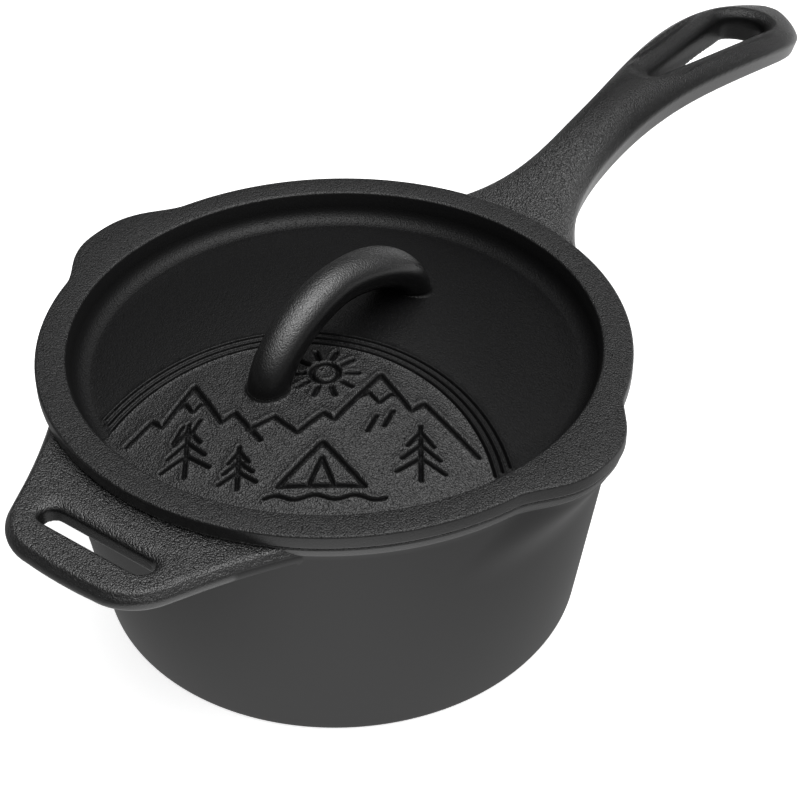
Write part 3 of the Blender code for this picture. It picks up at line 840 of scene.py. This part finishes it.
def lid_plate():
    """The lid without its grip: the carved floor, then the well's wall, the flange and the underside."""
    top = lid_top()
    under = PAN_HEIGHT + LID_GAP
    flange = RIM_RADIUS + LID_OVERHANG
    plug = RIM_RADIUS - WALL - PLUG_CLEARANCE
    well = well_radius()
    edge = floor_edge()
    floor = top - WELL_DEPTH
    slope = math.degrees(math.atan(2.0 * DOME_RISE / edge))
    start = -90.0 - WELL_FILLET_START * slope
    wall = arc((edge, floor + WELL_FILLET), WELL_FILLET, start, 0.0, 14)[1:]
    rows = [(r, z, 0.0) for r, z in wall]
    rows += [(r, z, 0.0) for r, z in arc((well + WELL_LIP, top - WELL_LIP), WELL_LIP, 180.0, 90.0, 5)]
    middle = 0.5 * (well + flange)
    rows.append((middle, top, EAR_START * EAR_REACH))
    round_edge = FLANGE_EDGE_RADIUS
    rim = arc((flange - round_edge, top - round_edge), round_edge, 90.0, 0.0, 5)
    rim += arc((flange - round_edge, under + round_edge), round_edge, 0.0, -90.0, 5)
    rows += [(r, z, EAR_REACH) for r, z in rim]
    rows.append((plug, under, 0.0))
    dome_under = floor - LID_THICKNESS
    corner = LID_THICKNESS + WELL_FILLET
    turn_at = (plug - UNDERSIDE_DRAFT - corner, dome_under + corner)
    rows += [(r, z, 0.0) for r, z in arc(turn_at, corner, -10.0, -90.0, 10)]
    for share in (0.72, 0.6, 0.45, 0.3, 0.15):
        rows.append((edge * share, float(dome_height(edge * share, dome_under)), 0.0))
    turns = [2.0 * math.pi * i / COLUMNS for i in range(COLUMNS)]
    bumps = [spout_bump(turn) for turn in turns]
    curves = carving_curves()
    flat = np.concatenate([np.array(circle((0.0, 0.0), edge, turns)), floor_spots(curves)])
    heights = floor_height(flat, curves)
    heights[:COLUMNS] = floor
    found = delaunay_2d_cdt([Vector(spot) for spot in flat], [], [], 0, 1e-7)
    if len(found[0]) != len(flat):
        raise RuntimeError("the floor's points were merged")
    order = [origins[0] for origins in found[3]]
    points = [(flat[i][0], flat[i][1], heights[i]) for i in range(len(flat))]
    faces = [tuple(order[i] for i in face) for face in found[2]]
    base = len(points)
    for radius, height, reach in rows:
        for turn, bump in zip(turns, bumps):
            away = radius + reach * bump
            points.append((away * math.cos(turn), away * math.sin(turn), height))
    points.append((0.0, 0.0, float(dome_height(0.0, dome_under))))
    rings = [0] + [base + i * COLUMNS for i in range(len(rows))]
    for near, far in zip(rings[:-1], rings[1:]):
        for i in range(COLUMNS):
            j = (i + 1) % COLUMNS
            faces.append((near + i, far + i, far + j, near + j))
    for i in range(COLUMNS):
        faces.append((rings[-1] + i, len(points) - 1, rings[-1] + (i + 1) % COLUMNS))
    return mesh_object("lid_casting", points, faces)


def bar_point(share):
    """Centre line of the grip: share runs from -1 at the near foot to 1 at the far foot."""
    span = BAR_FAR_SPAN if share > 0.0 else BAR_NEAR_SPAN
    turn = 0.5 * math.pi * min(abs(share), 1.0)
    x = math.copysign(span * math.sin(turn) ** (2.0 / BAR_ROUNDNESS), share)
    rise = BAR_CROWN_OVER_FLANGE + BAR_FOOT_BELOW_FLANGE
    z = lid_top() - BAR_FOOT_BELOW_FLANGE + rise * max(math.cos(turn), 0.0) ** (2.0 / BAR_ROUNDNESS)
    return x, z


def lid_grip():
    """The arched bar, an oval section swept along its centre line into the dome."""
    shares = [-math.cos(math.pi * i / (BAR_STATIONS - 1)) for i in range(BAR_STATIONS)]
    shares = [math.copysign(1.0 - (1.0 - abs(s)) ** BAR_CROWDING, s) for s in shares]
    centres = [bar_point(share) for share in shares]
    near, far = centres[0], centres[-1]
    centres.insert(0, (near[0], near[1] - BAR_FOOT_SINK))
    centres.append((far[0], far[1] - BAR_FOOT_SINK))
    loops = []
    for i, (x, z) in enumerate(centres):
        before, after = centres[max(i - 1, 0)], centres[min(i + 1, len(centres) - 1)]
        run, rise = after[0] - before[0], after[1] - before[1]
        length = math.hypot(run, rise)
        run, rise = run / length, rise / length
        widen = float(smooth_step(x / BAR_FAR_SPAN))
        half_width = BAR_HALF_WIDTH + (BAR_FAR_FOOT_HALF_WIDTH - BAR_HALF_WIDTH) * widen
        loop = []
        for k in range(BAR_SIDES):
            turn = 2.0 * math.pi * k / BAR_SIDES
            out = BAR_HALF_THICKNESS * math.sin(turn)
            loop.append((x - rise * out, half_width * math.cos(turn), z + run * out))
        loops.append(loop)
    return lofted("lid_grip", loops)


def lid():
    plate = lid_plate()
    combine(plate, lid_grip(), "UNION")
    return plate


def smooth_shaded(thing, degrees):
    thing.data.shade_smooth()
    thing.data.set_sharp_from_angle(angle=math.radians(degrees))


class Nodes:
    """A short way to write a material's nodes."""

    def __init__(self, name):
        self.material = bpy.data.materials.new(name)
        self.material.use_nodes = True
        self.tree = self.material.node_tree
        self.shader = self.tree.nodes["Principled BSDF"]

    def add(self, kind, inputs=None, **settings):
        node = self.tree.nodes.new(kind)
        for key, value in settings.items():
            setattr(node, key, value)
        for key, value in (inputs or {}).items():
            self.feed(node, key, value)
        return node

    def feed(self, node, key, value):
        if isinstance(value, bpy.types.NodeSocket):
            self.tree.links.new(value, node.inputs[key])
        else:
            node.inputs[key].default_value = value

    def noise(self, vector, scale, detail):
        inputs = {"Vector": vector, "Scale": scale, "Detail": detail, "Roughness": 0.5}
        return self.add("ShaderNodeTexNoise", inputs).outputs["Fac"]

    def remap(self, value, span, levels=(0.0, 1.0)):
        """Eases from one level to the other while a value goes through a span."""
        inputs = {"Value": value, "From Min": span[0], "From Max": span[1]}
        inputs.update({"To Min": levels[0], "To Max": levels[1]})
        return self.add("ShaderNodeMapRange", inputs, interpolation_type="SMOOTHSTEP").outputs["Result"]

    def passing(self, length, span, levels=(0.0, 1.0)):
        """The same for a length in metres and a span in millimetres."""
        return self.remap(length, (span[0] * MM, span[1] * MM), levels)

    def turning(self, share, levels):
        """The same for a share that goes from 0 to 1."""
        return self.remap(share, (0.0, 1.0), levels)

    def math(self, operation, a, b=0.0):
        node = self.add("ShaderNodeMath", operation=operation)
        self.feed(node, 0, a)
        self.feed(node, 1, b)
        return node.outputs[0]

    def mix(self, factor, a, b):
        node = self.add("ShaderNodeMix", data_type="RGBA")
        self.feed(node, "Factor", factor)
        self.feed(node, "A", a)
        self.feed(node, "B", b)
        return node.outputs["Result"]

    def product(self, first, *others):
        for other in others:
            first = self.math("MULTIPLY", first, other)
        return first

    def without(self, share):
        return self.math("SUBTRACT", 1.0, share)

    def place(self):
        return self.add("ShaderNodeTexCoord").outputs["Object"]

    def split(self, vector):
        """X, Y and Z of a vector."""
        return self.add("ShaderNodeSeparateXYZ", {"Vector": vector}).outputs

    def upward(self):
        """The upward part of the surface's normal: 1 where it is level, 0 on a wall."""
        return self.split(self.add("ShaderNodeNewGeometry").outputs["Normal"])["Z"]

    def along(self, vector, direction):
        """How far a vector reaches in a direction of the plan."""
        inputs = {0: vector, 1: (*direction, 0.0)}
        return self.add("ShaderNodeVectorMath", inputs, operation="DOT_PRODUCT").outputs["Value"]

    def plan_distance(self, vector, centre=(0.0, 0.0)):
        """Distance in plan, in metres, from a centre given in millimetres."""
        inputs = {0: vector, 1: (-centre[0] * MM, -centre[1] * MM, 0.0)}
        moved = self.add("ShaderNodeVectorMath", inputs, operation="ADD").outputs[0]
        inputs = {0: moved, 1: (1.0, 1.0, 0.0)}
        flat = self.add("ShaderNodeVectorMath", inputs, operation="MULTIPLY").outputs[0]
        return self.add("ShaderNodeVectorMath", {0: flat}, operation="LENGTH").outputs["Value"]


def grained_iron(name, zones):
    """Seasoned black iron with a pebbled sand skin and painted glints on the pebbles' tops; zones gives its
    grain, its sheen, which carries painted highlight and shade, and its roughness by place.
    """
    nodes = Nodes(name)
    place = nodes.place()
    grain, sheen, dull = zones(nodes, place)
    grain = nodes.product(grain, nodes.remap(nodes.upward(), GRAIN_FACING, STEEP_GRAIN))
    broad = nodes.noise(place, BROAD_SWELLS, 2.0)
    shift = nodes.product(nodes.noise(place, PEBBLE_SHIFTS, 1.0), PEBBLE_SHIFT)
    bent = nodes.add("ShaderNodeVectorMath", {0: place, 1: shift}, operation="ADD").outputs[0]
    apart = nodes.add("ShaderNodeTexVoronoi", {"Vector": bent, "Scale": PEBBLES}).outputs["Distance"]
    pebble = nodes.without(nodes.product(apart, apart))
    fine = nodes.noise(place, FINE_GRAINS, 1.0)
    height = nodes.math("ADD", pebble, nodes.product(fine, FINE_SHARE))
    height = nodes.math("ADD", height, nodes.product(broad, BROAD_SHARE))
    height = nodes.product(height, grain)
    bump = nodes.add("ShaderNodeBump", {"Height": height, "Distance": BUMP_HEIGHT, "Strength": 1.0})
    # Painted glints: the colour turns lighter on the tops of the pebbles, scaled by the grain
    painted_glint = nodes.product(nodes.remap(apart, PAINTED_GLINT_SPAN, FADE), grain)
    nodes.feed(nodes.shader, "Base Color", nodes.mix(painted_glint, IRON_DARK, IRON_PAINTED_GLINT))
    nodes.feed(nodes.shader, "Roughness", dull)
    # The sheen, raised and cut by place: painted highlight and shade
    nodes.feed(nodes.shader, "Specular IOR Level", sheen)
    nodes.feed(nodes.shader, "Normal", bump.outputs["Normal"])
    return nodes.material


def pan_zones(nodes, place):
    """Grain, sheen and roughness of the pan.

    The wall below the rim's band is smooth satin under a painted shade that cuts its sheen, and the root of
    the long handle has the strongest grain and a painted highlight, its sheen raised there and falling off
    outwards. The steep walls of both slots get painted shade: their sheen is cut.
    """
    x, y, z = nodes.split(place)
    beside = nodes.math("ABSOLUTE", y)
    upward = nodes.upward()
    wall = nodes.product(
        nodes.passing(z, WALL_TOP, FADE),
        nodes.passing(nodes.plan_distance(place), WALL_REACH, FADE),
    )
    # The slots' steep walls, where painted shade cuts the sheen
    hanging_slot_wall = nodes.product(
        nodes.remap(upward, HANGING_SLOT_FACING, FADE),
        nodes.passing(beside, HANGING_SLOT_SIDE, FADE),
        nodes.passing(x, HANGING_SLOT_START),
        nodes.passing(x, HANGING_SLOT_END, FADE),
    )
    helper_slot_wall = nodes.product(
        nodes.passing(x, HELPER_SLOT_START),
        nodes.passing(beside, HELPER_SLOT_SIDE, FADE),
        nodes.remap(upward, HELPER_SLOT_FACING, FADE),
        nodes.passing(x, HELPER_SLOT_END, FADE),
    )
    painted_slot_shade = nodes.math("MAXIMUM", hanging_slot_wall, nodes.product(helper_slot_wall, HELPER_SLOT_SHADE_SHARE))
    grain = nodes.product(
        nodes.passing(x, HANDLE_GRAIN_AT, HANDLE_GRAIN),
        nodes.passing(x, HELPER_GRAIN_AT, HELPER_GRAIN),
        nodes.turning(wall, WALL_GRAIN),
    )
    # Painted highlight and shade in the sheen: raised at the long handle's root, cut outwards along it, on
    # the slots' walls and on the wall below the rim's band
    sheen = nodes.product(
        nodes.passing(x, HANDLE_PAINTED_SHEEN_AT, HANDLE_PAINTED_SHEEN),
        nodes.turning(painted_slot_shade, SLOT_PAINTED_SHADE),
        nodes.turning(wall, WALL_PAINTED_SHADE),
    )
    return grain, sheen, nodes.turning(wall, WALL_ROUGHNESS)


def lid_zones(nodes, place):
    """Grain, sheen and roughness of the lid.

    The flange and the floor inside the rings have the strongest grain, the bare floor less, and the grip
    the least. The sheen carries painted light and shade: it is higher on the grip, with a painted highlight
    on its top and painted shade on its sides, and lower on the bare floor, where a painted shade dims it
    further towards the photograph's right. The carved lines get painted shade: their sheen is cut.
    """
    away = nodes.plan_distance(place)
    flange = nodes.passing(away, FLANGE_START)
    inside = nodes.passing(nodes.plan_distance(place, CARVING_CENTRE), RINGS_START, FADE)
    share = nodes.math("DIVIDE", away, floor_edge() * MM)
    over_dome = nodes.math("ADD", nodes.split(place)["Z"], nodes.product(share, share, DOME_RISE * MM))
    crown = lid_top() - WELL_DEPTH + DOME_RISE
    grip = nodes.product(
        nodes.passing(over_dome, [crown + over for over in GRIP_OVER_DOME]),
        nodes.passing(away, GRIP_REACH, FADE),
    )
    groove = nodes.product(
        nodes.passing(over_dome, [crown + over for over in GROOVE_UNDER_DOME], FADE),
        nodes.passing(away, GROOVE_REACH, FADE),
    )
    smooth = nodes.product(nodes.math("MAXIMUM", flange, inside), nodes.without(grip))
    well = nodes.without(nodes.math("MAXIMUM", flange, grip))
    bare = nodes.product(well, nodes.without(inside))
    grain = nodes.product(nodes.turning(grip, GRIP_GRAIN), nodes.turning(bare, BARE_GRAIN))
    # Painted highlight on the grip's top and painted shade on its sides, by how far the surface faces up
    painted_top_highlight = nodes.remap(nodes.upward(), GRIP_FACING, GRIP_PAINTED_TOP_HIGHLIGHT)
    to_right = nodes.product(nodes.along(place, VIEW_RIGHT), bare)
    # Painted highlight and shade in the sheen: more on the grip, less on the bare floor and less again
    # towards VIEW_RIGHT, and cut in the carved lines
    sheen = nodes.product(
        nodes.math("SUBTRACT", nodes.turning(grip, GRIP_PAINTED_SHEEN), nodes.product(bare, BARE_PAINTED_SHADE)),
        nodes.math("ADD", nodes.product(grip, painted_top_highlight), nodes.without(grip)),
        nodes.passing(to_right, BARE_FLOOR_RIGHT, BARE_PAINTED_SHADE_RIGHT),
        nodes.turning(groove, GROOVE_PAINTED_SHADE),
    )
    return grain, sheen, nodes.turning(smooth, LID_ROUGHNESS)


def floor_material():
    """White paper that stays white behind the object and keeps its shadow; in the iron it is a painted
    reflection, darker and dimmed by place.
    """
    nodes = Nodes("studio_paper")
    shader = nodes.shader
    shader.inputs["Roughness"].default_value = PAPER_ROUGHNESS
    shader.inputs["Specular IOR Level"].default_value = 0.0
    path = nodes.add("ShaderNodeLightPath")
    place = nodes.place()
    right, far = nodes.along(place, VIEW_RIGHT), nodes.along(place, VIEW_UP)
    behind = nodes.product(
        nodes.passing(far, MIRROR_BEHIND),
        nodes.passing(right, MIRROR_BEHIND_RIGHT, MIRROR_BEHIND_LOSS),
    )
    beside = nodes.product(
        nodes.passing(right, MIRROR_RIGHT, MIRROR_RIGHT_LOSS),
        nodes.passing(far, MIRROR_NEAR, FADE),
    )
    # Painted reflection: how bright the paper is in the iron, dimmed towards the left, the near right and
    # behind at the left
    painted_reflection = nodes.product(
        nodes.passing(right, MIRROR_LEFT, MIRROR_LEFT_LEVELS),
        nodes.without(beside),
        nodes.without(behind),
    )
    # Painted reflection: the paper's colour is darker in glossy rays
    nodes.feed(shader, "Base Color", nodes.mix(path.outputs["Is Glossy Ray"], PAPER, PAPER_PAINTED_REFLECTION))
    seen = nodes.product(path.outputs["Is Camera Ray"], PAPER_GLOW)
    for ray in ("Is Glossy Ray", "Is Transmission Ray"):
        seen = nodes.math("MAXIMUM", seen, nodes.product(path.outputs[ray], painted_reflection))
    shader.inputs["Emission Color"].default_value = (1.0, 1.0, 1.0, 1.0)
    nodes.feed(shader, "Emission Strength", seen)
    return nodes.material


def studio_floor():
    loop = arc((0.0, 0.0), FLOOR_RADIUS, 0.0, 360.0, 96)[:-1]
    floor = mesh_object("studio_floor", [(x, y, FLOOR_AT) for x, y in loop], [tuple(range(len(loop)))])
    floor.data.materials.append(floor_material())


def area_light(name, at, aim, size, power):
    data = bpy.data.lights.new(name, "AREA")
    data.shape = "RECTANGLE"
    data.size, data.size_y = size
    data.energy = power
    lamp = bpy.data.objects.new(name, data)
    lamp.location = at
    lamp.rotation_euler = (Vector(aim) - Vector(at)).to_track_quat("-Z", "Y").to_euler()
    bpy.context.scene.collection.objects.link(lamp)


def studio_light():
    """A sky that is bright overhead, a little towards SKY_AXIS, dark at the horizon, and one soft lamp."""
    world = bpy.data.worlds.new("studio")
    world.use_nodes = True
    tree = world.node_tree

    def step(operation, a, b=0.0, c=0.0):
        node = tree.nodes.new("ShaderNodeMath")
        node.operation = operation
        for socket, value in zip(node.inputs, (a, b, c)):
            if isinstance(value, bpy.types.NodeSocket):
                tree.links.new(value, socket)
            else:
                socket.default_value = value
        return node.outputs[0]

    toward = tree.nodes.new("ShaderNodeVectorMath")
    toward.operation = "DOT_PRODUCT"
    toward.inputs[1].default_value = SKY_AXIS
    tree.links.new(tree.nodes.new("ShaderNodeTexCoord").outputs["Generated"], toward.inputs[0])
    near = step("MAXIMUM", toward.outputs["Value"])
    level = SKY_LEAST
    for strength, bend in SKY_LOBES:
        level = step("MULTIPLY_ADD", step("POWER", near, bend), strength, level)
    seen = step("MAXIMUM", level, tree.nodes.new("ShaderNodeLightPath").outputs["Is Camera Ray"])
    shade = tree.nodes["Background"]
    shade.inputs["Color"].default_value = (1.0, 1.0, 1.0, 1.0)
    tree.links.new(seen, shade.inputs["Strength"])
    bpy.context.scene.world = world
    area_light("soft_top", [LAMP_AWAY * c for c in SKY_AXIS], LAMP_AIM, LAMP_SIZE, LAMP_POWER)


def studio_camera():
    data = bpy.data.cameras.new("photo_camera")
    data.sensor_width = 36.0
    data.lens = CAMERA_LENS
    data.clip_end = 50.0
    camera = bpy.data.objects.new("photo_camera", data)
    bpy.context.scene.collection.objects.link(camera)
    forward = Vector(CAMERA_FORWARD).normalized()
    right = Vector(CAMERA_RIGHT)
    right = (right - right.dot(forward) * forward).normalized()
    up = right.cross(forward)
    turn = Matrix((right, up, -forward)).transposed().to_4x4()
    camera.matrix_world = Matrix.Translation(Vector(CAMERA_AT) * MM) @ turn
    bpy.context.scene.camera = camera


CASTINGS = ((saucepan, "saucepan", "pan", pan_zones), (lid, "lid", "lid", lid_zones))


def dress():
    """Puts each detailed casting over its node."""
    for make, node, body, zones in CASTINGS:
        piece = make()
        smooth_shaded(piece, SHARP_ANGLE)
        piece.data.materials.clear()
        piece.data.materials.append(grained_iron(piece.name + "_iron", zones))
        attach(piece, body)
        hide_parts(node)


def main():
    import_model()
    dress()
    studio_floor()
    studio_light()
    studio_camera()
    bpy.context.scene.view_settings.view_transform = "Standard"


main()
